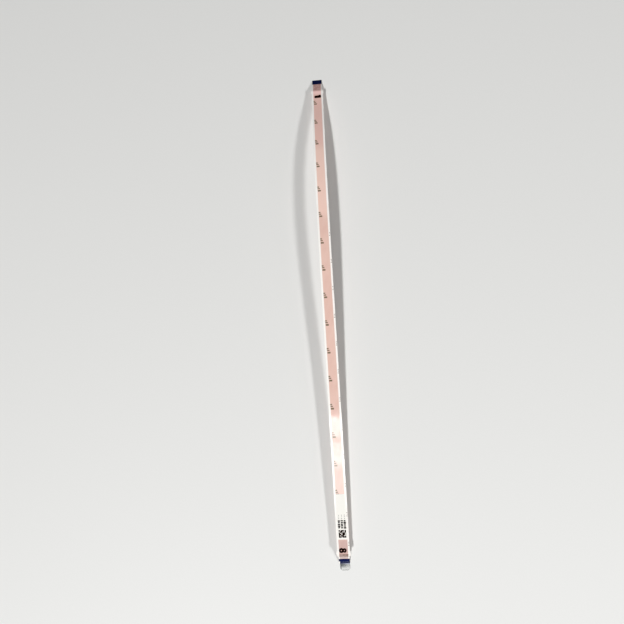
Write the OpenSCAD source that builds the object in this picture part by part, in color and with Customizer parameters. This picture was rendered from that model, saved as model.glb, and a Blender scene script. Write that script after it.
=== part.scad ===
// Flat flex cable: eight flat wires laminated between two white films, with a stiffened plug-in
// end at each side. It rests as an arch on its two creased ends.
// +Y runs along the cable towards the far end, +Z is up, the printed side is on top.
// Millimetres and degrees.

/* [Laminate] */
// Width of the body
body_w = 10.5; // [9:0.1:14]
// Width of each plug-in end
end_w = 9.0; // [8:0.1:12]
// Width over the ears at each crease
ear_w = 11.6; // [9:0.1:15]
// Length of each pair of ears along the cable
ear_l = 5.0; // [3:0.5:6]
// How far the ears reach past each crease, towards the tip
ear_out = 0.5; // [0.5:0.5:2]
// Thickness of the cover film over a wire, adhesive included
cover_t = 0.075; // [0.05:0.005:0.12]
// Thickness of a flat wire
wire_t = 0.1; // [0.05:0.01:0.15]
// Width of a flat wire
wire_w = 0.65; // [0.4:0.05:0.8]
// Distance between wire centres
pitch = 1.0; // [1:0.25:1.25]

/* [Ends] */
// Length of each stiffener
stiff_l = 6.5; // [4:0.5:9]
// Thickness over a stiffened end, from the bare wires to the stiffener's back
plug_t = 0.3; // [0.25:0.01:0.4]
// Length of bare wire on the underside of each end
bare_l = 4.0; // [3:0.5:6]
// How far the wires stop short of each tip
wire_setback = 0.4; // [0.3:0.05:0.8]
// Width of the clear tab
tab_w = 8.3; // [6:0.1:9]
// Thickness of the clear tab
tab_t = 0.1; // [0.05:0.05:0.2]
// How far the clear tab laps over the near stiffener
tab_lap = 3.0; // [1:0.5:5]
// Length of the clear tab's curve down to the table
tab_curve_l = 2.2; // [1:0.1:4]
// Length of the clear tab that lies flat
tab_flat_l = 3.7; // [2.5:0.1:10]
// Radius of the clear tab's free corners
tab_r = 2.0; // [0.5:0.1:3]

/* [How it lies] */
// Length of the far end, from its tip to the crease
far_end_l = 16.5; // [12:0.5:24]
// Slope of the far end
far_slope = 26; // [20:1:40]
// Slope of the near end
near_slope = 42; // [30:1:50]
// Length of the far crease
far_crease_l = 2.0; // [1:0.5:4]
// Length of the near crease
near_crease_l = 2.5; // [1.5:0.5:5]
// Distance between the places where the body's lift angle is set
station = 26; // [20:1:30]
// Lift angle at those places, from the far crease to the near one
lift = [12, 17.5, 13, 8.5, 4.5, 0.5, -2.5, -4.5, -6, -6, -6, -5, -4.5, -4, -4, -3.5, -3.5]; // [-20:0.5:20]

/* [Label and print] */
// Label width
label_w = 8.0; // [6:0.1:9]
// Label length
label_l = 36.6; // [30:0.2:45]
// Label thickness
label_t = 0.08; // [0.05:0.01:0.2]
// Distance from the label's near edge to the near crease
label_gap = 10.9; // [9:0.2:20]
// Side of the square block on the label
block_w = 6.2; // [4:0.2:7.6]
// Thickness of print
ink_t = 0.03; // [0.02:0.01:0.05]
// Distance between the repeated marks
mark_pitch = 23.6; // [15:0.1:40]
// Distance from the far crease to the first mark
mark_start = 13.2; // [12:0.2:16]
// Number of repeated marks
mark_count = 16; // [4:1:16]
// Distance from the far crease to the first clipped mark at the edge
edge_start = 149; // [20:1:200]
// Number of clipped marks at the edge
edge_count = 12; // [1:1:12]
// Height of the position numbers, across the cable
number_h = 6.4; // [5.6:0.1:7]

/* [Hidden] */
wires = 8;
white = [0.93, 0.90, 0.88, 0.6];
tinned_copper = [0.80, 0.52, 0.42];
navy = [0.03, 0.04, 0.16];
clear = [0.85, 0.88, 0.86, 0.3];
paper = [0.95, 0.94, 0.91];
black_ink = [0.06, 0.05, 0.05];
grey_ink = [0.42, 0.37, 0.31];

// Layer heights, measured from the wires' middle plane
wire_d = wire_t / 2;
film_d = wire_d + cover_t;
back_d = plug_t - wire_d;
label_d = film_d + label_t;

// The cable's line is a chain of straight steps, [length, lift angle], from the far tip to the near one.
// The body bends by a degree or two from step to step.
steps_per_station = 3;
step_l = station / steps_per_station;
body_steps = steps_per_station * (len(lift) - 1);
body_l = step_l * body_steps;
lift_table = [for (i = [0:len(lift) - 1]) [i * station, lift[i]]];
function bend(l, from, to, n) = [for (i = [0:n - 1]) [l / n, from + (to - from) * (i + 0.5) / n]];
function lengths(steps) = [for (s = steps) s[0]];
function runs(steps) = [for (s = steps) s[0] * cos(s[1])];
function rises(steps) = [for (s = steps) s[0] * sin(s[1])];
function total(v) = len(v) == 0 ? 0 : [for (x = v) 1] * v;
function running(v) = [for (i = 0, t = 0; i <= len(v); t = t + (i < len(v) ? v[i] : 0), i = i + 1) t];

far_part = concat([[far_end_l, far_slope]], bend(far_crease_l, far_slope, lift[0], 3));
body_part = [for (i = [0:body_steps - 1]) [step_l, lookup((i + 0.5) * step_l, lift_table)]];
near_crease = bend(near_crease_l, lift[len(lift) - 1], -near_slope, 5);
tab_curve = bend(tab_curve_l, -near_slope, 0, 5);
tab_part = concat(tab_curve, [[tab_flat_l, 0]]);

// The far tip's film touches the table, and the near end is as long as brings the tab's underside to it.
start_z = -wire_d * cos(far_slope);
crease_z = start_z + total(rises(concat(far_part, body_part, near_crease)));
near_end_l = (crease_z + total(rises(tab_curve)) + back_d) / sin(near_slope);
steps = concat(far_part, body_part, near_crease, [[near_end_l, -near_slope]], tab_part);
s_at = running(lengths(steps));
y_run = running(runs(steps));
z_rise = running(rises(steps));
last = len(steps) - 1;
far_y = (y_run[last + 1] - back_d * sin(far_slope)) / 2;

// Places along the cable
crease_far_s = far_end_l + far_crease_l;
crease_near_s = crease_far_s + body_l;
tip_s = crease_near_s + near_crease_l + near_end_l;
ear_far_s = far_end_l - ear_out;
ear_near_s = crease_near_s + near_crease_l + ear_out;
label_end_s = crease_near_s - label_gap;
label_start_s = label_end_s - label_l;
one_s = crease_far_s + 6;
eight_s = crease_near_s - 2.2;
block_in = 1.5;
block_s = label_end_s - block_in - block_w;
over = 1;

// Direction up from the cable in step i, and points on the line at distance d above it
function up(i) = [sin(steps[i][1]), cos(steps[i][1])];
function along(i) = [-cos(steps[i][1]), sin(steps[i][1])];
function corner(i) = [far_y - y_run[i], start_z + z_rise[i]];
function mitre(i) = (up(i - 1) + up(i)) / (1 + up(i - 1) * up(i));
function step_from(s) = max([for (i = [0:last]) if (i == 0 || s_at[i] <= s + 0.0001) i]);
function step_to(s) = max([for (i = [0:last]) if (i == 0 || s_at[i] < s - 0.0001) i]);
function point(i, s, d) = corner(i) + (s - s_at[i]) * along(i) + d * up(i);
function line(s0, s1, d) = concat(
    [point(step_from(s0), s0, d)],
    [for (i = [1:last]) if (s_at[i] > s0 + 0.0001 && s_at[i] < s1 - 0.0001) corner(i) + d * mitre(i)],
    [point(step_to(s1), s1, d)]);
function reversed(v) = [for (i = [len(v) - 1:-1:0]) v[i]];

// A strip that follows the cable from s0 to s1, between heights d0 and d1 and sides x0 and x1
module ribbon(s0, s1, d0, d1, x0, x1) {
    translate([x0, 0, 0])
        rotate([90, 0, 90])
            linear_extrude(height = x1 - x0)
                polygon(concat(line(s0, s1, d0), reversed(line(s0, s1, d1))));
}

// Local frame on a straight step: x across, y towards the far end, z up from the cable
module on_cable(s, x, d) {
    i = step_from(s);
    p = point(i, s, d);
    translate([x, p[0], p[1]])
        rotate([-steps[i][1], 0, 0])
            children();
}

// Everything outside half the given width, from s0 to s1
module both_sides(s0, s1, w) {
    for (side = [0, 1])
        mirror([side, 0, 0])
            ribbon(s0, s1, -over, over, w / 2, ear_w / 2 + over);
}

// A film cut to the cable's outline: wide body, ears at the creases, narrow ends
module film(s0, s1, d0, d1) {
    difference() {
        ribbon(s0, s1, d0, d1, -ear_w / 2, ear_w / 2);
        both_sides(-over, ear_far_s, end_w);
        both_sides(ear_far_s + ear_l, ear_near_s - ear_l, body_w);
        both_sides(ear_near_s, tip_s + over, end_w);
    }
}

module wire_solid(number) {
    x = (number - (wires + 1) / 2) * pitch;
    ribbon(wire_setback, tip_s - wire_setback, -wire_d, wire_d, x - wire_w / 2, x + wire_w / 2);
}

module top_film() {
    color(white) film(0, tip_s, wire_d, film_d);
}

// The wires lie in this film, and its webs meet the top film between them
module bottom_film() {
    color(white)
        difference() {
            film(bare_l, tip_s - bare_l, -film_d, wire_d);
            for (number = [1:wires])
                wire_solid(number);
        }
}

module wire(number) {
    color(tinned_copper) wire_solid(number);
}

module far_stiffener() {
    color(navy) ribbon(0, stiff_l, film_d, back_d, -end_w / 2, end_w / 2);
}

// Its outer half is notched on the left, level with the clear tab
module near_stiffener() {
    color(navy)
        difference() {
            ribbon(tip_s - stiff_l, tip_s, film_d, back_d, -end_w / 2, end_w / 2);
            ribbon(tip_s - tab_lap, tip_s + over, 0, over, -end_w / 2 - over, end_w / 2 - tab_w);
        }
}

// Laps over the stiffener, curves down to the table and ends in rounded corners
module clear_tab() {
    tab_end_s = tip_s + tab_curve_l + tab_flat_l;
    centre_x = (end_w - tab_w) / 2;
    end_y = point(last, tab_end_s, 0)[0];
    color(clear)
        difference() {
            ribbon(tip_s - tab_lap, tab_end_s, back_d, back_d + tab_t, centre_x - tab_w / 2, end_w / 2);
            for (side = [-1, 1])
                translate([centre_x + side * (tab_w / 2 - tab_r), end_y + tab_r, -over])
                    difference() {
                        translate([side > 0 ? 0 : -tab_r - over, -tab_r - over, 0])
                            cube([tab_r + over, tab_r + over, 2 * over]);
                        translate([0, 0, -over])
                            cylinder(r = tab_r, h = 4 * over, $fn = 48);
                    }
        }
}

module label() {
    color(paper) ribbon(label_start_s, label_end_s, film_d, label_d, -label_w / 2, label_w / 2);
}

// One printed bar on the label, centred on x
module label_bar(s, l, x, w) {
    ribbon(s, s + l, label_d, label_d + ink_t, x - w / 2, x + w / 2);
}

// Three rows of bars of varied length and width, bold beside the block and thin further away
module label_rows() {
    row_gap = 0.9;
    row_pitch = 2.4;
    bars_in_row = 8;
    bold_bars = 5;
    bar_pitch = 1.4;
    bold_l = 0.95;
    bold_w = 1.5;
    thin_l = 0.4;
    thin_w = 0.7;
    more_l = 0.15;
    more_w = 0.25;
    color(black_ink)
        for (row = [-1, 0, 1])
            for (i = [0:bars_in_row - 1]) {
                bold = i < bold_bars;
                l = bold ? bold_l + ((i * 2 + row + 4) % 3) * more_l : thin_l;
                w = bold ? bold_w + ((i + row + 1) % 3) * more_w : thin_w;
                label_bar(block_s - row_gap - (i + 1) * bar_pitch, l, row * row_pitch, w);
            }
}

// A square block with a scatter of small windows, placed by a rule
module label_block() {
    cells = 6;
    cell = block_w / cells;
    window = cell * 0.7;
    inset = (cell - window) / 2;
    color(black_ink)
        difference() {
            label_bar(block_s, block_w, 0, block_w);
            for (i = [0:cells - 1])
                for (j = [0:cells - 1])
                    if (i + j > 0 && (2 * i * i + 3 * j) % 11 < 4) {
                        s = block_s + i * cell + inset;
                        x = j * cell + inset - block_w / 2;
                        ribbon(s, s + window, 0, over, x, x + window);
                    }
        }
}

// Both numbers are turned on their side: the figure's top points to +X
module number_one() {
    stem_w = 3.0;
    clip = 0.8;
    flag_l = 0.6;
    flag_w = 1.6;
    flag_in = 0.6;
    off_centre = 0.4;
    end_x = number_h / 2;
    side = stem_w / 2;
    flag_x = end_x - flag_in;
    stem_end = [[end_x, side], [end_x, clip - side], [end_x - clip, -side]];
    foot = [[-end_x + clip, -side], [-end_x, clip - side], [-end_x, side - clip], [-end_x + clip, side]];
    flag = [[flag_x - flag_w, side], [flag_x - flag_w, side + flag_l],
        [flag_x, side + flag_l], [flag_x, side]];
    color(black_ink)
        on_cable(one_s, off_centre, film_d)
            linear_extrude(height = ink_t)
                polygon(concat(stem_end, foot, flag));
}

module number_eight() {
    low_r = 2.05;
    high_r = 1.8;
    low_x = low_r - number_h / 2;
    high_x = number_h / 2 - high_r;
    hole = 0.24;
    off_centre = -0.6;
    color(black_ink)
        on_cable(eight_s, off_centre, film_d)
            difference() {
                union() {
                    translate([low_x, 0, 0]) cylinder(r = low_r, h = ink_t, $fn = 48);
                    translate([high_x, 0, 0]) cylinder(r = high_r, h = ink_t, $fn = 48);
                }
                translate([low_x, 0, -over]) cylinder(r = low_r * hole, h = 2 * over, $fn = 32);
                translate([high_x, 0, -over]) cylinder(r = high_r * hole, h = 2 * over, $fn = 32);
            }
}

// Each stroke of a mark is [distance from the mark's middle, length, left side, width].
// A stroke that would run under the label ends at the label's edge.
module repeat_marks() {
    strokes = [[-2.4, 1.0, -3.8, 1.6], [-0.8, 0.9, -3.7, 2.2], [0.9, 1.4, -3.4, 2.6]];
    color(grey_ink)
        for (i = [0:mark_count - 1])
            for (stroke = strokes) {
                s = crease_far_s + mark_start + i * mark_pitch + stroke[0];
                l = min(stroke[1], label_start_s - s);
                if (l > 0)
                    ribbon(s, s + l, film_d, film_d + ink_t, stroke[2], stroke[2] + stroke[3]);
            }
}

// What is left of marks cut by the right edge: three dots each, [distance from the mark's middle, width]
module edge_marks() {
    dot_l = 0.6;
    edge_gap = 0.2;
    dots = [[-1.6, 0.7], [-0.3, 0.5], [1.0, 0.8]];
    right_x = body_w / 2 - edge_gap;
    color(grey_ink)
        for (i = [0:edge_count - 1])
            for (dot = dots) {
                s = crease_far_s + edge_start + i * mark_pitch + dot[0];
                ribbon(s, s + dot_l, film_d, film_d + ink_t, right_x - dot[1], right_x);
            }
}

top_film();
bottom_film();
wire(1);  // wire_1
wire(2);  // wire_2
wire(3);  // wire_3
wire(4);  // wire_4
wire(5);  // wire_5
wire(6);  // wire_6
wire(7);  // wire_7
wire(8);  // wire_8
far_stiffener();
near_stiffener();
clear_tab();
label();
label_rows();
label_block();
number_one();
number_eight();
repeat_marks();
edge_marks();
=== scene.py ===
"""Looks of the flat flex cable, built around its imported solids.

Every piece is first laid out flat, with s along the cable from its far tip, x across it and d above the
wires' middle plane, all in millimetres. bend_to_lie() then puts it on the cable's line, in metres.
"""
import math

import bmesh
import bpy
import numpy as np
from mathutils import Matrix, Vector


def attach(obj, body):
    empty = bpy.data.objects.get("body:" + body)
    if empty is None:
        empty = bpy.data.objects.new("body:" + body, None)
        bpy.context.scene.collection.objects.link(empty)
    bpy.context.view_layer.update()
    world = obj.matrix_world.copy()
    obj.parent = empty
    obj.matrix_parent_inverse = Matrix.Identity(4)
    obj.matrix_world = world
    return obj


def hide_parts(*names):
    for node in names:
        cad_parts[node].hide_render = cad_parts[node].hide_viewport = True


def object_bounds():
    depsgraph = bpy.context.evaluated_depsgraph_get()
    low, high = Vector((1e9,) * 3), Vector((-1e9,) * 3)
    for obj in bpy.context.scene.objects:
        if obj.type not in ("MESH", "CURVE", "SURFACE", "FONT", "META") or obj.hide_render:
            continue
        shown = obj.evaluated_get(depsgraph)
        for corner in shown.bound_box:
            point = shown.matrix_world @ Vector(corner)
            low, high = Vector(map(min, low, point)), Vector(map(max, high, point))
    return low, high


MM = 0.001

# The cable's sizes, as in its source, in millimetres and degrees
BODY_W = 10.5
END_W = 9.0
EAR_W = 11.6
EAR_L = 5.0
EAR_OUT = 0.5
WIRE_T = 0.1
WIRE_W = 0.65
PITCH = 1.0
WIRES = 8
COVER_T = 0.075
PLUG_T = 0.3
STIFF_L = 6.5
BARE_L = 4.0
TAB_W = 8.3
TAB_T = 0.1
TAB_LAP = 3.0
TAB_CURVE_L = 2.2
TAB_FLAT_L = 3.7
TAB_R = 2.0
FAR_END_L = 16.5
FAR_SLOPE = 26
NEAR_SLOPE = 42
FAR_CREASE_L = 2.0
NEAR_CREASE_L = 2.5
STATION = 26
LIFT = [12, 17.5, 13, 8.5, 4.5, 0.5, -2.5, -4.5, -6, -6, -6, -5, -4.5, -4, -4, -3.5, -3.5]
LABEL_W = 8.0
LABEL_L = 36.6
LABEL_T = 0.08
LABEL_GAP = 10.9
BLOCK_W = 6.2
BLOCK_IN = 1.5
INK_T = 0.03
MARK_PITCH = 23.6
MARK_START = 13.2
MARK_COUNT = 16
EDGE_START = 149
EDGE_COUNT = 12
NUMBER_H = 6.4

# Finer than the source: ridges of film over the wires, softened edges, and a gap under the lapped tab
RIDGE = 0.005
SOFT = 0.02
TAB_LIFT = 0.005

# Heights of the layers above the wires' middle plane
WIRE_D = WIRE_T / 2
FILM_D = WIRE_D + COVER_T
BACK_D = PLUG_T - WIRE_D
LABEL_D = FILM_D + LABEL_T
PRINT_D = FILM_D + RIDGE

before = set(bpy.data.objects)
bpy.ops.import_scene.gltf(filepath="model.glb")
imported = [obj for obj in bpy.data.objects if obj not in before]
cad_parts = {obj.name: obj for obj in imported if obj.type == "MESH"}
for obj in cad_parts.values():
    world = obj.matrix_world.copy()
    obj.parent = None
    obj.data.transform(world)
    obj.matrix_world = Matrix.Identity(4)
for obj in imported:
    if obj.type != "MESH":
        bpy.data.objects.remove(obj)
cad_low, cad_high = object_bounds()


# ---------------------------------------------------------------- the cable's line

BODY_L = STATION * (len(LIFT) - 1)
CREASE_FAR_S = FAR_END_L + FAR_CREASE_L
CREASE_NEAR_S = CREASE_FAR_S + BODY_L
NEAR_END_S = CREASE_NEAR_S + NEAR_CREASE_L
FINE = 0.1


def rise(length, start, end, parts=40):
    """How far a stretch climbs while its slope turns evenly from start to end."""
    turn = (np.arange(parts) + 0.5) / parts
    return length * float(np.sin(np.radians(start + (end - start) * turn)).mean())


def near_end_length():
    """The near end is as long as brings the clear tab's underside to the table."""
    start_z = -WIRE_D * math.cos(math.radians(FAR_SLOPE))
    z = start_z + rise(FAR_END_L, FAR_SLOPE, FAR_SLOPE) + rise(FAR_CREASE_L, FAR_SLOPE, LIFT[0])
    z += sum(rise(STATION, a, b) for a, b in zip(LIFT, LIFT[1:]))
    z += rise(NEAR_CREASE_L, LIFT[-1], -NEAR_SLOPE)
    return (z + rise(TAB_CURVE_L, -NEAR_SLOPE, 0) + BACK_D) / math.sin(math.radians(NEAR_SLOPE))


TIP_S = NEAR_END_S + near_end_length()
LAP_S = TIP_S - TAB_LAP
TAB_END_S = TIP_S + TAB_CURVE_L + TAB_FLAT_L
TURNS = ([(0, FAR_SLOPE), (FAR_END_L, FAR_SLOPE)]
         + [(CREASE_FAR_S + i * STATION, a) for i, a in enumerate(LIFT)]
         + [(NEAR_END_S, -NEAR_SLOPE), (TIP_S, -NEAR_SLOPE), (TIP_S + TAB_CURVE_L, 0), (TAB_END_S, 0)])

line_s = np.arange(0, TAB_END_S + 2 * FINE, FINE)
line_slope = np.radians(np.interp(line_s, *zip(*TURNS)))
step_slope = (line_slope[1:] + line_slope[:-1]) / 2
far_tip_y = cad_high.y / MM - BACK_D * math.sin(math.radians(FAR_SLOPE))
line_y = far_tip_y - np.concatenate([[0], np.cumsum(np.cos(step_slope))]) * FINE
line_z = np.concatenate([[0], np.cumsum(np.sin(step_slope))]) * FINE
line_z -= WIRE_D * math.cos(math.radians(FAR_SLOPE))


def bend_to_lie(flat):
    """Points (x, s, d) laid out flat become points on the cable, in metres."""
    x, s, d = np.asarray(flat, float).reshape(-1, 3).T
    slope = np.interp(s, line_s, line_slope)
    y = np.interp(s, line_s, line_y) + d * np.sin(slope)
    z = np.interp(s, line_s, line_z) + d * np.cos(slope)
    return np.column_stack([x, y, z]) * MM


# Places along the cable
EAR_FAR_S = FAR_END_L - EAR_OUT
EAR_NEAR_S = NEAR_END_S + EAR_OUT - EAR_L
LABEL_END_S = CREASE_NEAR_S - LABEL_GAP
LABEL_START_S = LABEL_END_S - LABEL_L
BLOCK_S = LABEL_END_S - BLOCK_IN - BLOCK_W
FIRST_MARK_S = CREASE_FAR_S + MARK_START
FIRST_EDGE_S = CREASE_FAR_S + EDGE_START

# The repeated marks that lie in the glare, counted from 0, get a painted highlight: a lighter ink
FIRST_GLARE_MARK = 13
GLARE_MARK_COUNT = 2
GLARE_S = FIRST_MARK_S + (FIRST_GLARE_MARK - 0.5) * MARK_PITCH

# Where places along the cable lie along y, in millimetres
FAR_CREASE_Y, GLARE_Y, GLARE_END_Y, NEAR_CREASE_Y, LAP_Y, TIP_Y, TAB_END_Y = bend_to_lie(
    [(0, s, 0) for s in (CREASE_FAR_S, GLARE_S, GLARE_S + GLARE_MARK_COUNT * MARK_PITCH, CREASE_NEAR_S, LAP_S,
                         TIP_S, TAB_END_S)])[:, 1] / MM


# ---------------------------------------------------------------- mesh helpers

def dress(obj, material):
    obj.data.materials.clear()
    obj.data.materials.append(material)


def piece(name, shape, slot, node, smooth=False):
    """A mesh piece, from (points, faces), that rides on the cable and stands for the named solid."""
    points, faces = shape
    mesh = bpy.data.meshes.new(name)
    mesh.from_pydata([tuple(p) for p in points], [], faces)
    mesh.validate()
    bm = bmesh.new()
    bm.from_mesh(mesh)
    bmesh.ops.recalc_face_normals(bm, faces=bm.faces)
    bm.to_mesh(mesh)
    bm.free()
    obj = bpy.data.objects.new(name, mesh)
    bpy.context.scene.collection.objects.link(obj)
    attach(obj, "root")
    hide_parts(node)
    if smooth:
        shade(obj)
    dress(obj, LOOKS[slot])
    return obj


def shade(obj, angle=35):
    """Smooth shading with creases kept where faces meet at more than the angle."""
    obj.data.shade_smooth()
    bm = bmesh.new()
    bm.from_mesh(obj.data)
    for edge in bm.edges:
        if len(edge.link_faces) == 2 and edge.calc_face_angle(0) > math.radians(angle):
            edge.smooth = False
    bm.to_mesh(obj.data)
    bm.free()


def loft(sections):
    """Points and faces of a solid through closed sections of equal count, with flat ends.
    A section is (s, [(x, d), ...])."""
    count = len(sections[0][1])
    flat = [(x, s, d) for s, loop in sections for x, d in loop]
    faces = []
    for i in range(len(sections) - 1):
        for j in range(count):
            k = (j + 1) % count
            faces.append((i * count + j, i * count + k, (i + 1) * count + k, (i + 1) * count + j))
    faces.append(tuple(range(count)))
    faces.append(tuple(range((len(sections) - 1) * count, len(sections) * count)))
    return bend_to_lie(flat), faces


def stations(start, end, spacing, extra, clear=0.05):
    """Evenly spaced places from start to end, with the extra ones that lie between, clear of both ends."""
    even = np.linspace(start, end, max(2, int(math.ceil((end - start) / spacing)) + 1))
    between = [s for s in extra if start + clear < s < end - clear]
    return sorted(set(np.round(np.concatenate([even, between]), 4)))


def rounded_half(s, start, end, half, radius):
    """Half width at s of a strip from start to end whose corners are rounded."""
    edge = min(s - start, end - s)
    if edge >= radius:
        return half
    away = radius - max(edge, 0)
    return half - radius + math.sqrt(max(radius ** 2 - away ** 2, 0))


def corner_places(start, end, radius, count=8):
    """Places that draw a rounded corner at both ends well."""
    arc = [radius * (1 - math.cos(a)) for a in np.linspace(0, math.pi / 2, count)]
    return [start + a for a in arc] + [end - a for a in arc]


def strip_section(s, left, right, low, high, bevel=SOFT):
    """A section of a thin strip, with its two top edges softened."""
    return (s, [(left, low), (right, low), (right, high - bevel), (right - bevel, high),
                (left + bevel, high), (left, high - bevel)])


def slab(start, end, low, high, half, radius=0.3, centre=0.0, spacing=1.5, soft=SOFT, least=0.02):
    """A thin strip with rounded corners in plan, nowhere thinner than its least half width."""
    sections = []
    for s in stations(start, end, spacing, corner_places(start, end, radius)):
        w = max(rounded_half(s, start, end, half, radius), least)
        bevel = min(soft, (high - low) / 3, w / 2)
        sections.append(strip_section(s, centre - w, centre + w, low, high, bevel))
    return loft(sections)


def joined(parts):
    """Several (points, faces) as one."""
    points, faces, base = [], [], 0
    for p, f in parts:
        points.extend(tuple(q) for q in p)
        faces.extend(tuple(base + i for i in face) for face in f)
        base += len(p)
    return points, faces


# ---------------------------------------------------------------- materials

class Nodes:
    """A short way to write the node tree of a material or a world."""

    def __init__(self, owner, shader="Principled BSDF"):
        owner.use_nodes = True
        self.owner = owner
        self.tree = owner.node_tree
        self.shader = self.tree.nodes[shader]

    def add(self, kind, **settings):
        node = self.tree.nodes.new(kind)
        for key, value in settings.items():
            setattr(node, key, value)
        return node

    def feed(self, value, socket):
        """Links what comes out of a node, or sets a plain value."""
        if isinstance(value, bpy.types.NodeSocket):
            self.tree.links.new(value, socket)
        else:
            socket.default_value = value

    def math(self, operation, a, b=0.0):
        node = self.add("ShaderNodeMath", operation=operation)
        self.feed(a, node.inputs[0])
        self.feed(b, node.inputs[1])
        return node.outputs[0]

    def mix(self, factor, a, b):
        """A mix of two colours. Its sockets are numbered, because their names repeat."""
        node = self.add("ShaderNodeMix", data_type="RGBA")
        self.feed(factor, node.inputs[0])
        self.feed(a, node.inputs[6])
        self.feed(b, node.inputs[7])
        return node.outputs[2]

    def band(self, value, low, high, out_low=0.0, out_high=1.0, interpolation="SMOOTHSTEP"):
        """Goes from out_low, where the value is at low or past it, to out_high at high."""
        node = self.add("ShaderNodeMapRange", interpolation_type=interpolation)
        self.feed(value, node.inputs["Value"])
        self.feed(low, node.inputs["From Min"])
        self.feed(high, node.inputs["From Max"])
        self.feed(out_low, node.inputs["To Min"])
        self.feed(out_high, node.inputs["To Max"])
        return node.outputs["Result"]

    def stretch(self, value, start, end, soft):
        """One from start down to end, and none beyond them."""
        return self.math("MULTIPLY", self.band(value, start + soft, start - soft),
                         self.band(value, end - soft, end + soft))

    def split(self, vector):
        node = self.add("ShaderNodeSeparateXYZ")
        self.feed(vector, node.inputs[0])
        return node.outputs

    def place(self):
        """Where a point is, in millimetres: as a vector, and as its x, y and z."""
        scale = self.add("ShaderNodeVectorMath", operation="SCALE")
        self.feed(self.add("ShaderNodeTexCoord").outputs["Object"], scale.inputs[0])
        self.feed(1 / MM, scale.inputs["Scale"])
        return scale.outputs[0], self.split(scale.outputs[0])

    def noise(self, vector, scale, detail=2.0, axes=(1, 1, 1)):
        """Noise over a place. An axis scaled by less than one draws it out that way."""
        mapping = self.add("ShaderNodeMapping")
        self.feed(vector, mapping.inputs["Vector"])
        self.feed(axes, mapping.inputs["Scale"])
        node = self.add("ShaderNodeTexNoise")
        self.feed(mapping.outputs[0], node.inputs["Vector"])
        self.feed(scale, node.inputs["Scale"])
        self.feed(detail, node.inputs["Detail"])
        return node.outputs["Fac"]

    def bump(self, height, strength, distance):
        node = self.add("ShaderNodeBump")
        self.feed(height, node.inputs["Height"])
        self.feed(strength, node.inputs["Strength"])
        self.feed(distance, node.inputs["Distance"])
        self.feed(node.outputs[0], self.shader.inputs["Normal"])

    def surface(self, **values):
        for key, value in values.items():
            self.feed(value, self.shader.inputs[key.replace("_", " ")])


def rgb(r, g, b):
    return (r, g, b, 1.0)


# Half width of the pink band, and how far its edges are blurred
BAND_HALF = 3.7
BAND_BLUR = 0.12

# How strong the pink is between two wires
BETWEEN_WIRES = 0.72

# The film is glossy and a little wavy: its index, and the waves' scale and height in metres
FILM_IOR = 1.65
WAVE_SCALE = 0.07
WAVE_H = 0.0001

# Colours of the film. The plain ones vary between two, and the others take over in one stretch each.
# The others are painted light and shade: lighter colours towards the far end, a painted highlight on the far
# crease, painted shade past the far crease and along the near crease, and painted shadow over the near end.
WHITE = rgb(0.92, 0.885, 0.84), rgb(0.95, 0.925, 0.885)
PINK = rgb(0.71, 0.445, 0.37), rgb(0.75, 0.49, 0.41)
FAR_PAINTED_LIGHT_WHITE = rgb(0.99, 0.96, 0.925)
FAR_PAINTED_LIGHT_PINK = rgb(0.80, 0.495, 0.43)
PAINTED_LIGHT_PALE_PINK = rgb(0.86, 0.575, 0.485)
NECK_SHADE_PINK = rgb(0.43, 0.185, 0.16)
NECK_SHADE_WHITE = rgb(0.66, 0.58, 0.55)
CREST_HIGHLIGHT_PINK = rgb(0.95, 0.61, 0.57)
NEAR_SHADOW_PINK = rgb(0.58, 0.37, 0.33)
TIP_SHADOW_PINK = rgb(0.44, 0.31, 0.29)
FOLD_SHADE_PINK = rgb(0.13, 0.062, 0.038)
FOLD_SHADE_WHITE = rgb(0.45, 0.38, 0.33)

# How much of the painted shade past the far crease and along the near crease the white margins take
MARGIN_SHADE_SHARE = 0.4


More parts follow.
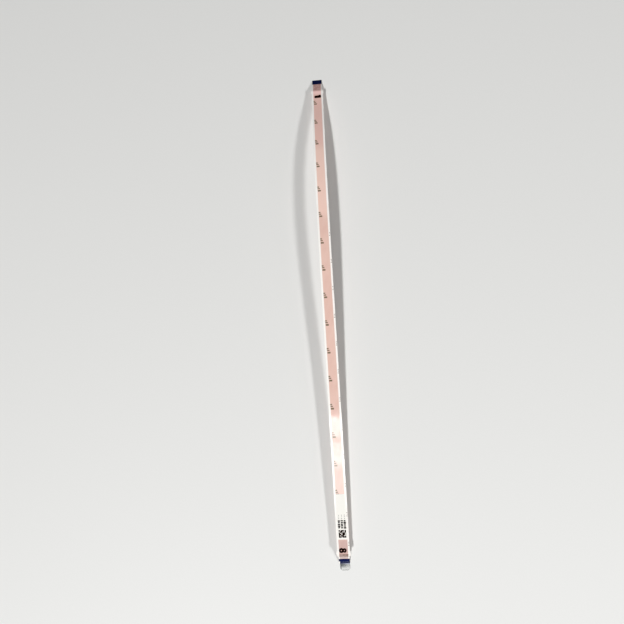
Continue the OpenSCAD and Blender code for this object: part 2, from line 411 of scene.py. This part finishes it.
def film_material():
    """Glossy white film over copper: a pink band with white margins, and lines between the wires.
    Along its length lie painted light, a painted highlight, painted shade and painted shadow.
    """
    n = Nodes(bpy.data.materials.new("white_film"))
    place, (x, y, _z) = n.place()
    in_band = n.band(n.math("ABSOLUTE", x), BAND_HALF + BAND_BLUR, BAND_HALF - BAND_BLUR)
    from_wire = n.math("ABSOLUTE", n.math("SUBTRACT", n.math("FRACT", x), 0.5))
    over_wire = n.band(from_wire, WIRE_W / 2 + 0.08, WIRE_W / 2 - 0.1, BETWEEN_WIRES, 1.0)
    cloud = n.noise(place, 0.06, 3.0)
    fine = n.noise(place, 2.5, 3.0, (1, 0.25, 1))
    # A random mottle for the painted shade
    shade_mottle = n.band(n.noise(place, 0.45), 0.3, 0.7, 0.6, 1.0)

    def past(crease_y, start, full):
        """None at start and one at full, as distances along y from a crease."""
        return n.band(y, crease_y + start, crease_y + full)

    def between(crease_y, start, end, soft):
        """One from start down to end, as distances along y from a crease."""
        return n.stretch(y, crease_y + start, crease_y + end, soft)

    white = n.mix(n.band(fine, 0.3, 0.7), *WHITE)
    pink = n.mix(n.band(cloud, 0.3, 0.7), *PINK)
    # Painted light: lighter margins and pink towards the far end, and a paler stretch of pink nearer the
    # middle
    white = n.mix(between(FAR_CREASE_Y, 4, -120, 3), white, FAR_PAINTED_LIGHT_WHITE)
    pink = n.mix(past(FAR_CREASE_Y, -68, -58), pink, FAR_PAINTED_LIGHT_PINK)
    pink = n.mix(between(FAR_CREASE_Y, -63, -130, 5), pink, PAINTED_LIGHT_PALE_PINK)

    # Painted shade, mottled, on the steep stretch past the far crease
    neck_shade = n.math("MULTIPLY", past(FAR_CREASE_Y, -0.2, 3.4), shade_mottle)
    pink = n.mix(neck_shade, pink, NECK_SHADE_PINK)
    white = n.mix(n.math("MULTIPLY", neck_shade, MARGIN_SHADE_SHARE), white, NECK_SHADE_WHITE)
    # Painted highlight along the far crease
    pink = n.mix(between(FAR_CREASE_Y, 0.9, -2.6, 1.0), pink, CREST_HIGHLIGHT_PINK)

    # Painted shadow over the near end's pink, darker again past the near crease
    pink = n.mix(past(NEAR_CREASE_Y, 14, 8), pink, NEAR_SHADOW_PINK)
    pink = n.mix(past(NEAR_CREASE_Y, -1, -3), pink, TIP_SHADOW_PINK)
    # Painted shade, mottled, along the near crease
    fold_shade = n.math("MULTIPLY", between(NEAR_CREASE_Y, -0.7, -3.5, 0.5), shade_mottle)
    pink = n.mix(fold_shade, pink, FOLD_SHADE_PINK)
    white = n.mix(n.math("MULTIPLY", fold_shade, MARGIN_SHADE_SHARE), white, FOLD_SHADE_WHITE)

    n.surface(Base_Color=n.mix(n.math("MULTIPLY", in_band, over_wire), white, pink),
              Roughness=n.band(fine, 0.2, 0.8, 0.06, 0.10), IOR=FILM_IOR)
    n.bump(n.math("ADD", n.math("MULTIPLY", fine, 0.016), n.noise(place, WAVE_SCALE)), 1.0, WAVE_H)
    return n.owner


def wire_material():
    n = Nodes(bpy.data.materials.new("tinned_copper"))
    place, _ = n.place()
    grain = n.noise(place, 6.0, 3.0, (1, 0.08, 1))
    n.surface(Base_Color=n.mix(grain, rgb(0.80, 0.66, 0.56), rgb(0.87, 0.80, 0.74)), Metallic=1.0,
              Roughness=n.band(grain, 0.2, 0.8, 0.22, 0.38))
    n.bump(grain, 0.1, 0.00001)
    return n.owner


def stiffener_material():
    n = Nodes(bpy.data.materials.new("navy_polyester"))
    place, _ = n.place()
    fine = n.noise(place, 4.0, 3.0)
    n.surface(Base_Color=n.mix(fine, rgb(0.0005, 0.003, 0.032), rgb(0.001, 0.006, 0.058)),
              Roughness=n.band(fine, 0.2, 0.8, 0.28, 0.42), Specular_IOR_Level=0.02)
    n.bump(fine, 0.12, 0.00002)
    return n.owner


def tab_material():
    """Clear film, hardly seen where it is stuck down or lies flat. Its edges carry painted shade and its
    curve a painted shadow, both darker on the left; where it turns at the tip it carries a painted highlight
    that goes over to painted shade on the left, and a thin blue painted glint lies where its lap starts."""
    n = Nodes(bpy.data.materials.new("clear_film"))
    place, (x, y, _z) = n.place()
    fine = n.noise(place, 1.5)
    middle = (END_W - TAB_W) / 2
    left, right = middle - TAB_W / 2, middle + TAB_W / 2
    from_middle = n.math("ABSOLUTE", n.math("SUBTRACT", x, middle))
    to_left = n.band(x, right, left)

    # Painted shade along its edges, widest on the left
    sides = n.band(from_middle, TAB_W / 2 - 0.35, TAB_W / 2 - 0.05)
    rim_shade = n.math("MAXIMUM", sides, n.band(y, TAB_END_Y + 0.5, TAB_END_Y))
    rim_shade = n.math("MAXIMUM", rim_shade, n.band(x, left + 1.1, left + 0.4))
    # Painted shadow under its curve, darker to the left
    free = n.band(y, TIP_Y + 0.1, TIP_Y - 0.1)
    curve_shadow = n.math("MULTIPLY", free, n.band(y, TIP_Y - 4.6, TIP_Y - 1.2))
    curve_shadow = n.math("MULTIPLY", curve_shadow, n.math("ADD", n.math("MULTIPLY", to_left, 1.2), 0.4))
    # A painted highlight where it turns at the tip, going over to painted shade on the left, and a thin blue
    # painted glint where its lap starts
    bend_highlight_and_shade = n.math("MULTIPLY", free, n.band(y, TIP_Y - 0.9, TIP_Y - 0.5))
    lap_glint = n.band(y, LAP_Y - 0.45, LAP_Y - 0.25)

    tint = n.mix(curve_shadow, rgb(0.50, 0.52, 0.48), rgb(0.17, 0.185, 0.18))
    tint = n.mix(rim_shade, tint, rgb(0.10, 0.11, 0.11))
    tint = n.mix(bend_highlight_and_shade, tint, n.mix(to_left, rgb(0.42, 0.44, 0.56), rgb(0.08, 0.08, 0.13)))
    tint = n.mix(lap_glint, tint, rgb(0.07, 0.09, 0.30))

    cover = n.math("MAXIMUM", n.math("MULTIPLY", curve_shadow, 0.28), n.math("MULTIPLY", rim_shade, 0.6))
    cover = n.math("MULTIPLY", n.math("ADD", cover, 0.08), free)
    cover = n.math("MAXIMUM", cover, n.math("MULTIPLY", bend_highlight_and_shade, 0.85))
    cover = n.math("MAXIMUM", cover, n.math("MULTIPLY", lap_glint, 0.4))
    n.surface(Base_Color=tint, Alpha=n.math("ADD", cover, 0.02),
              Roughness=n.band(fine, 0.2, 0.8, 0.06, 0.14), IOR=1.5)
    n.bump(fine, 0.1, 0.00003)
    return n.owner


def label_material():
    n = Nodes(bpy.data.materials.new("label_paper"))
    place, _ = n.place()
    fibre = n.noise(place, 8.0, 4.0)
    n.surface(Base_Color=n.mix(fibre, rgb(0.76, 0.745, 0.69), rgb(0.82, 0.80, 0.745)), Roughness=0.5)
    n.bump(fibre, 0.2, 0.00002)
    return n.owner


def ink_material(name, dark, light, glare_colour=None):
    """Print as glossy as the film that it lies on, and as wavy. The glare colour, if given, is a painted
    highlight on the marks that lie in the glare.
    """
    n = Nodes(bpy.data.materials.new(name))
    place, (_x, y, _z) = n.place()
    speckle = n.noise(place, 9.0, 4.0)
    ink = n.mix(n.band(speckle, 0.35, 0.75), dark, light)
    if glare_colour:
        # Painted highlight: a lighter ink over the marks in the glare
        ink = n.mix(n.stretch(y, GLARE_Y, GLARE_END_Y, 1), ink, glare_colour)
    n.surface(Base_Color=ink, Roughness=0.07, IOR=FILM_IOR)
    n.bump(n.noise(place, WAVE_SCALE), 1.0, WAVE_H)
    return n.owner


# The material of each slot
LOOKS = {
    "film": film_material(),
    "wire": wire_material(),
    "stiffener": stiffener_material(),
    "clear_film": tab_material(),
    "label_paper": label_material(),
    "black_ink": ink_material("black_ink", rgb(0.012, 0.003, 0.002), rgb(0.020, 0.008, 0.006)),
    # The grey ink's third colour is its painted highlight in the glare
    "grey_ink": ink_material("grey_ink", rgb(0.15, 0.115, 0.07), rgb(0.28, 0.22, 0.145),
                             rgb(0.35, 0.30, 0.23)),
}


# ---------------------------------------------------------------- films

# How long an ear takes to widen beside the narrow end, and beside the body
EAR_CORNER = 0.5
EAR_SHOULDER = 0.8

# How far apart the rows of the films are
ROW = 1.5
CLOSE_ROW = 0.12

# Across one wire: distance from its middle, and share of the ridge's height
RIDGE_PROFILE = [(-0.42, 0), (-0.30, 0.7), (-0.12, 1), (0.12, 1), (0.30, 0.7), (0.42, 0)]


def outline_half(s):
    """Half width of the films at s: narrow ends, an ear at each crease and the wide body."""
    def step(at, width):
        t = min(max((s - at) / width + 0.5, 0), 1)
        return t * t * (3 - 2 * t)
    half = END_W / 2
    half += (EAR_W - END_W) / 2 * step(EAR_FAR_S + EAR_CORNER / 2, EAR_CORNER)
    half -= (EAR_W - BODY_W) / 2 * step(EAR_FAR_S + EAR_L - EAR_SHOULDER / 2, EAR_SHOULDER)
    half += (EAR_W - BODY_W) / 2 * step(EAR_NEAR_S + EAR_SHOULDER / 2, EAR_SHOULDER)
    half -= (EAR_W - END_W) / 2 * step(EAR_NEAR_S + EAR_L - EAR_CORNER / 2, EAR_CORNER)
    return half


def film_places(start, end):
    """Rows of the films: close together from 1 mm before each ear to 3 mm past it, and else further apart."""
    close = [s for a in (EAR_FAR_S - 1, EAR_NEAR_S - 1) for s in np.arange(a, a + EAR_L + 4, CLOSE_ROW)]
    return stations(start, end, ROW, close)


def ridged_side(half, flat_d, up):
    """One face of a film from -half to half, raised a little over each wire."""
    points = [(-half, flat_d - up * SOFT), (-half + SOFT, flat_d)]
    for i in range(WIRES):
        centre = (i - (WIRES - 1) / 2) * PITCH
        points += [(centre + offset, flat_d + up * RIDGE * share) for offset, share in RIDGE_PROFILE]
    return points + [(half - SOFT, flat_d), (half, flat_d - up * SOFT)]


def make_film(name, node, start, end, outer_d, up):
    """A film between the wires' upper faces and its own outer face. Up is 1 for the top film, else -1."""
    sections = []
    for s in film_places(start, end):
        half = outline_half(s)
        sections.append((s, ridged_side(half, outer_d, up) + [(half, WIRE_D), (-half, WIRE_D)]))
    return piece(name, loft(sections), "film", node, smooth=True)


top_film = make_film("top_film_skin", "top_film", 0, TIP_S, FILM_D, 1)
bottom_film = make_film("bottom_film_skin", "bottom_film", BARE_L, TIP_S - BARE_L, -FILM_D, -1)


# ---------------------------------------------------------------- wires, stiffeners and clear tab

wires = [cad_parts[f"wire_{i + 1}"] for i in range(WIRES)]
for wire in wires:
    dress(wire, LOOKS["wire"])

far_stiffener = piece("far_stiffener_strip", slab(0, STIFF_L, FILM_D, BACK_D, END_W / 2, spacing=0.5),
                      "stiffener", "far_stiffener", smooth=True)


def make_near_stiffener():
    """Full width first, then notched on the left, level with the clear tab."""
    right = END_W / 2
    rows, notch_run, next_row = 8, 0.15, 0.2
    places = [(s, -right) for s in np.linspace(TIP_S - STIFF_L, LAP_S - notch_run, rows)]
    places += [(s, right - TAB_W) for s in (LAP_S, *np.linspace(LAP_S + next_row, TIP_S, rows))]
    sections = [strip_section(s, left, right, FILM_D, BACK_D) for s, left in places]
    return piece("near_stiffener_strip", loft(sections), "stiffener", "near_stiffener", smooth=True)


def make_tab():
    """Square where it is stuck down, round at its free corners."""
    centre = (END_W - TAB_W) / 2
    sections = []
    for s in stations(LAP_S, TAB_END_S, 0.3, corner_places(LAP_S, TAB_END_S, TAB_R)):
        half = TAB_W / 2
        if s >= TAB_END_S - TAB_R:
            half = rounded_half(s, LAP_S, TAB_END_S, half, TAB_R)
        sections.append(strip_section(s, centre - half, centre + half, BACK_D + TAB_LIFT, BACK_D + TAB_T))
    return piece("clear_tab_film", loft(sections), "clear_film", "clear_tab", smooth=True)


near_stiffener = make_near_stiffener()
clear_tab = make_tab()


# ---------------------------------------------------------------- label and print

# The block's cells along each side, and a window's share of its cell
CELLS = 6
WINDOW = 0.7

# The rows of print beside it: bold bars of varied length and width, then short thin ones
ROW_GAP = 0.9
ROW_PITCH = 2.4
BARS_IN_ROW = 8
BOLD_BARS = 5
BAR_PITCH = 1.4
BOLD_L, BOLD_L_STEP = 0.95, 0.15
BOLD_W, BOLD_W_STEP = 1.5, 0.25
THIN_L, THIN_W = 0.4, 0.7

# Each stroke of a repeated mark: distance from the mark's middle, length, left side and width
STROKES = [(-2.4, 1.0, -3.8, 1.6), (-0.8, 0.9, -3.7, 2.2), (0.9, 1.4, -3.4, 2.6)]

# Each dot of an edge mark: distance from the mark's middle, and width
DOTS = [(-1.6, 0.7), (-0.3, 0.5), (1.0, 0.8)]
DOT_L = 0.6
EDGE_GAP = 0.2

# Cuts across a plate of ink: how far out they go from its centre, and how far apart they are
CUT_REACH = 4
CUT_PITCH = 0.8

# The figures' places along the cable, from the crease beside each
ONE_FROM_CREASE = 6
EIGHT_FROM_CREASE = 2.2

paper = slab(LABEL_START_S, LABEL_END_S, PRINT_D, LABEL_D, LABEL_W / 2, 0.6, spacing=0.8)
label = piece("label_sheet", paper, "label_paper", "label", smooth=True)


def ink_bar(s, length, x, width, base, radius=0.12):
    return slab(s, s + length, base, base + INK_T, width / 2, radius, x, spacing=0.6, soft=0.005)


def make_label_rows():
    bars = []
    for row in (-1, 0, 1):
        for i in range(BARS_IN_ROW):
            s = BLOCK_S - ROW_GAP - (i + 1) * BAR_PITCH
            bold = i < BOLD_BARS
            length = BOLD_L + ((i * 2 + row + 4) % 3) * BOLD_L_STEP if bold else THIN_L
            width = BOLD_W + ((i + row + 1) % 3) * BOLD_W_STEP if bold else THIN_W
            bars.append(ink_bar(s, length, row * ROW_PITCH, width, LABEL_D))
    return piece("label_rows_print", joined(bars), "black_ink", "label_rows")


def plate(outline, holes, s_centre, base):
    """A thin plate of ink: an outline less its holes, in (x, s) about a centre, laid on the cable. Cuts
    across it let it follow the cable's curve."""
    curve = bpy.data.curves.new("ink_outline", "CURVE")
    curve.dimensions = "2D"
    curve.fill_mode = "BOTH"
    for loop in [outline] + holes:
        spline = curve.splines.new("POLY")
        spline.points.add(len(loop) - 1)
        for point, (x, t) in zip(spline.points, loop):
            point.co = (x, t, 0, 1)
        spline.use_cyclic_u = True
    temp = bpy.data.objects.new("ink_outline", curve)
    bpy.context.scene.collection.objects.link(temp)
    mesh = bpy.data.meshes.new_from_object(temp.evaluated_get(bpy.context.evaluated_depsgraph_get()))
    bpy.data.objects.remove(temp)
    bm = bmesh.new()
    bm.from_mesh(mesh)
    bmesh.ops.remove_doubles(bm, verts=bm.verts, dist=1e-5)
    for at in np.arange(-CUT_REACH, CUT_REACH + 0.01, CUT_PITCH):
        bmesh.ops.bisect_plane(bm, geom=bm.verts[:] + bm.edges[:] + bm.faces[:],
                               plane_co=(0, at, 0), plane_no=(0, 1, 0))
    grown = bmesh.ops.extrude_face_region(bm, geom=bm.faces[:])
    for v in (g for g in grown["geom"] if isinstance(g, bmesh.types.BMVert)):
        v.co.z += INK_T
    bm.verts.ensure_lookup_table()
    flat = [(v.co.x, s_centre + v.co.y, base + v.co.z) for v in bm.verts]
    faces = [tuple(v.index for v in f.verts) for f in bm.faces]
    bm.free()
    return bend_to_lie(flat), faces


def circle(x, t, radius, count=40):
    return [(x + radius * math.cos(a), t + radius * math.sin(a))
            for a in np.linspace(0, 2 * math.pi, count, endpoint=False)]


def square(x, t, side):
    return [(x - side / 2, t - side / 2), (x + side / 2, t - side / 2),
            (x + side / 2, t + side / 2), (x - side / 2, t + side / 2)]


def make_label_block():
    """Windows are cut by a rule: the code is no real one."""
    cell = BLOCK_W / CELLS
    windows = [square(-BLOCK_W / 2 + (j + 0.5) * cell, -BLOCK_W / 2 + (i + 0.5) * cell, cell * WINDOW)
               for i in range(CELLS) for j in range(CELLS) if (2 * i * i + 3 * j) % 11 < 4 and i + j > 0]
    shape = plate(square(0, 0, BLOCK_W), windows, BLOCK_S + BLOCK_W / 2, LABEL_D)
    return piece("label_block_print", shape, "black_ink", "label_block")


def make_number_one():
    """Its top points to +X. The stem has three round corners, and the flag lies at the fourth. Each point
    of the flag is distance down from the top, and out from the stem's side."""
    side, top, across, corner = 1.5, NUMBER_H / 2, 0.4, 1.0
    flag = [(2.6, 0), (2.0, 0.6), (0.6, 0.6), (0, -0.4)]
    turns = [(top - corner, side - corner, 0), (-top + corner, side - corner, 90),
             (-top + corner, -side + corner, 180)]
    outline = []
    for x, t, start in turns:
        for turn in range(0, 91, 15):
            angle = math.radians(start + turn)
            outline.append((across + x + corner * math.cos(angle), t + corner * math.sin(angle)))
    outline += [(across + top - down, -side - out) for down, out in flag]
    shape = plate(outline, [], CREASE_FAR_S + ONE_FROM_CREASE, PRINT_D)
    return piece("number_one_print", shape, "black_ink", "number_one")


def make_number_eight():
    """Two rings, of which the larger is the lower one. Its top points to +X."""
    off_centre, low_r, high_r, window = -0.6, 2.05, 1.8, 0.19
    rings = [(off_centre + low_r - NUMBER_H / 2, low_r), (off_centre + NUMBER_H / 2 - high_r, high_r)]
    parts = [plate(circle(x, 0, r), [circle(x, 0, r * window)], CREASE_NEAR_S - EIGHT_FROM_CREASE, PRINT_D)
             for x, r in rings]
    return piece("number_eight_print", joined(parts), "black_ink", "number_eight")


def make_repeat_marks():
    """A stroke that would run under the label ends at the label's edge."""
    parts = []
    for i in range(MARK_COUNT):
        s = FIRST_MARK_S + i * MARK_PITCH
        for start, length, left, width in STROKES:
            shown = min(length, LABEL_START_S - s - start)
            if shown > 0:
                parts.append(ink_bar(s + start, shown, left + width / 2, width, PRINT_D))
    return piece("repeat_marks_print", joined(parts), "grey_ink", "repeat_marks")


def make_edge_marks():
    """What is left of marks that the right edge cuts."""
    parts = []
    for i in range(EDGE_COUNT):
        s = FIRST_EDGE_S + i * MARK_PITCH
        for start, width in DOTS:
            parts.append(ink_bar(s + start, DOT_L, BODY_W / 2 - EDGE_GAP - width / 2, width, FILM_D, 0.1))
    return piece("edge_marks_print", joined(parts), "grey_ink", "edge_marks")


label_rows = make_label_rows()
label_block = make_label_block()
number_one = make_number_one()
number_eight = make_number_eight()
repeat_marks = make_repeat_marks()
edge_marks = make_edge_marks()


# ---------------------------------------------------------------- floor, camera and light

# The camera's place in metres, of which its y is from the far crease, and its turns in degrees
CAMERA_X, CAMERA_Y, CAMERA_Z = 0.0195, -0.2802, 0.4626
YAW, PITCH_UP, ROLL = -3.7, 8.47, 4.94
LENS_MM = 30

# The slim lamps that the film mirrors as one broken highlight: place along y, power, and width along y
SLIM_LAMPS = [(-0.438, 0.30, 0.046), (-0.522, 0.31, 0.046), (-0.615, 0.36, 0.140)]
SLIM_X, SLIM_Z, SLIM_L = -0.066, 1.5, 0.20
SLIM_TARGET = (0, -0.12, 0)

# Strengths of the world: the fill on the object, and the wall, which fades out between two heights.
# A height is the sine of the angle above the horizon.
FILL = 0.008
WALL = 0.40
WALL_FADES, WALL_GONE = 0.28, 0.48


def make_floor():
    bpy.ops.mesh.primitive_plane_add(size=6, location=(0, 0, -0.02 * MM))
    floor = bpy.context.object
    floor.name = "floor"
    n = Nodes(bpy.data.materials.new("pale_floor"))
    place, _ = n.place()
    grain = n.noise(place, 0.8, 4.0)
    n.surface(Base_Color=n.mix(grain, rgb(0.71, 0.71, 0.695), rgb(0.74, 0.74, 0.725)), Roughness=0.6)
    dress(floor, n.owner)


def turned(yaw, pitch, roll):
    return (Matrix.Rotation(math.radians(yaw), 4, "Z") @ Matrix.Rotation(math.radians(pitch), 4, "X")
            @ Matrix.Rotation(math.radians(roll), 4, "Y"))


def make_camera():
    data = bpy.data.cameras.new("camera")
    data.lens = LENS_MM
    data.clip_start = 0.01
    camera = bpy.data.objects.new("camera", data)
    bpy.context.scene.collection.objects.link(camera)
    place = Matrix.Translation((CAMERA_X, FAR_CREASE_Y * MM + CAMERA_Y, CAMERA_Z))
    camera.matrix_world = place @ turned(YAW, PITCH_UP, ROLL)
    bpy.context.scene.camera = camera


def area_light(name, place, target, size, power, size_y=None):
    """A lamp of the given size, square if it has only one, that faces its target."""
    data = bpy.data.lights.new(name, "AREA")
    data.shape = "RECTANGLE"
    data.size = size
    data.size_y = size_y or size
    data.energy = power
    light = bpy.data.objects.new(name, data)
    light.location = place
    light.rotation_euler = (Vector(target) - Vector(place)).to_track_quat("-Z", "Y").to_euler()
    bpy.context.scene.collection.objects.link(light)


def make_lights():
    """Two main lamps from the near side, a weak low one, and the slim ones."""
    area_light("left_lamp", (-1.12, -2.70, 3.85), (0, 0, 0), 0.32, 190)
    area_light("right_lamp", (2.62, -2.45, 3.50), (0, 0, 0), 0.50, 115)
    area_light("low_lamp", (4.0, -1.9, 2.8), (0, 0, 0), 0.8, 8)
    for i, (y, power, width) in enumerate(SLIM_LAMPS):
        area_light(f"high_lamp_{i + 1}", (SLIM_X, y, SLIM_Z), SLIM_TARGET, SLIM_L, power, width)


def make_world():
    """A faint fill all round. Only camera, glossy and transmission rays see the wall."""
    n = Nodes(bpy.data.worlds.new("studio"), "Background")
    height = n.split(n.add("ShaderNodeTexCoord").outputs["Generated"])["Z"]
    wall = n.band(height, WALL_FADES, WALL_GONE, WALL, FILL, "LINEAR")
    path = n.add("ShaderNodeLightPath")
    seen = path.outputs["Is Camera Ray"]
    for ray in ("Is Glossy Ray", "Is Transmission Ray"):
        seen = n.math("MAXIMUM", seen, path.outputs[ray])
    n.surface(Color=rgb(0.97, 0.98, 1.0), Strength=n.band(seen, 0, 1, FILL, wall, "LINEAR"))
    bpy.context.scene.world = n.owner


make_floor()
make_camera()
make_lights()
make_world()
bpy.context.scene.view_settings.view_transform = "Standard"
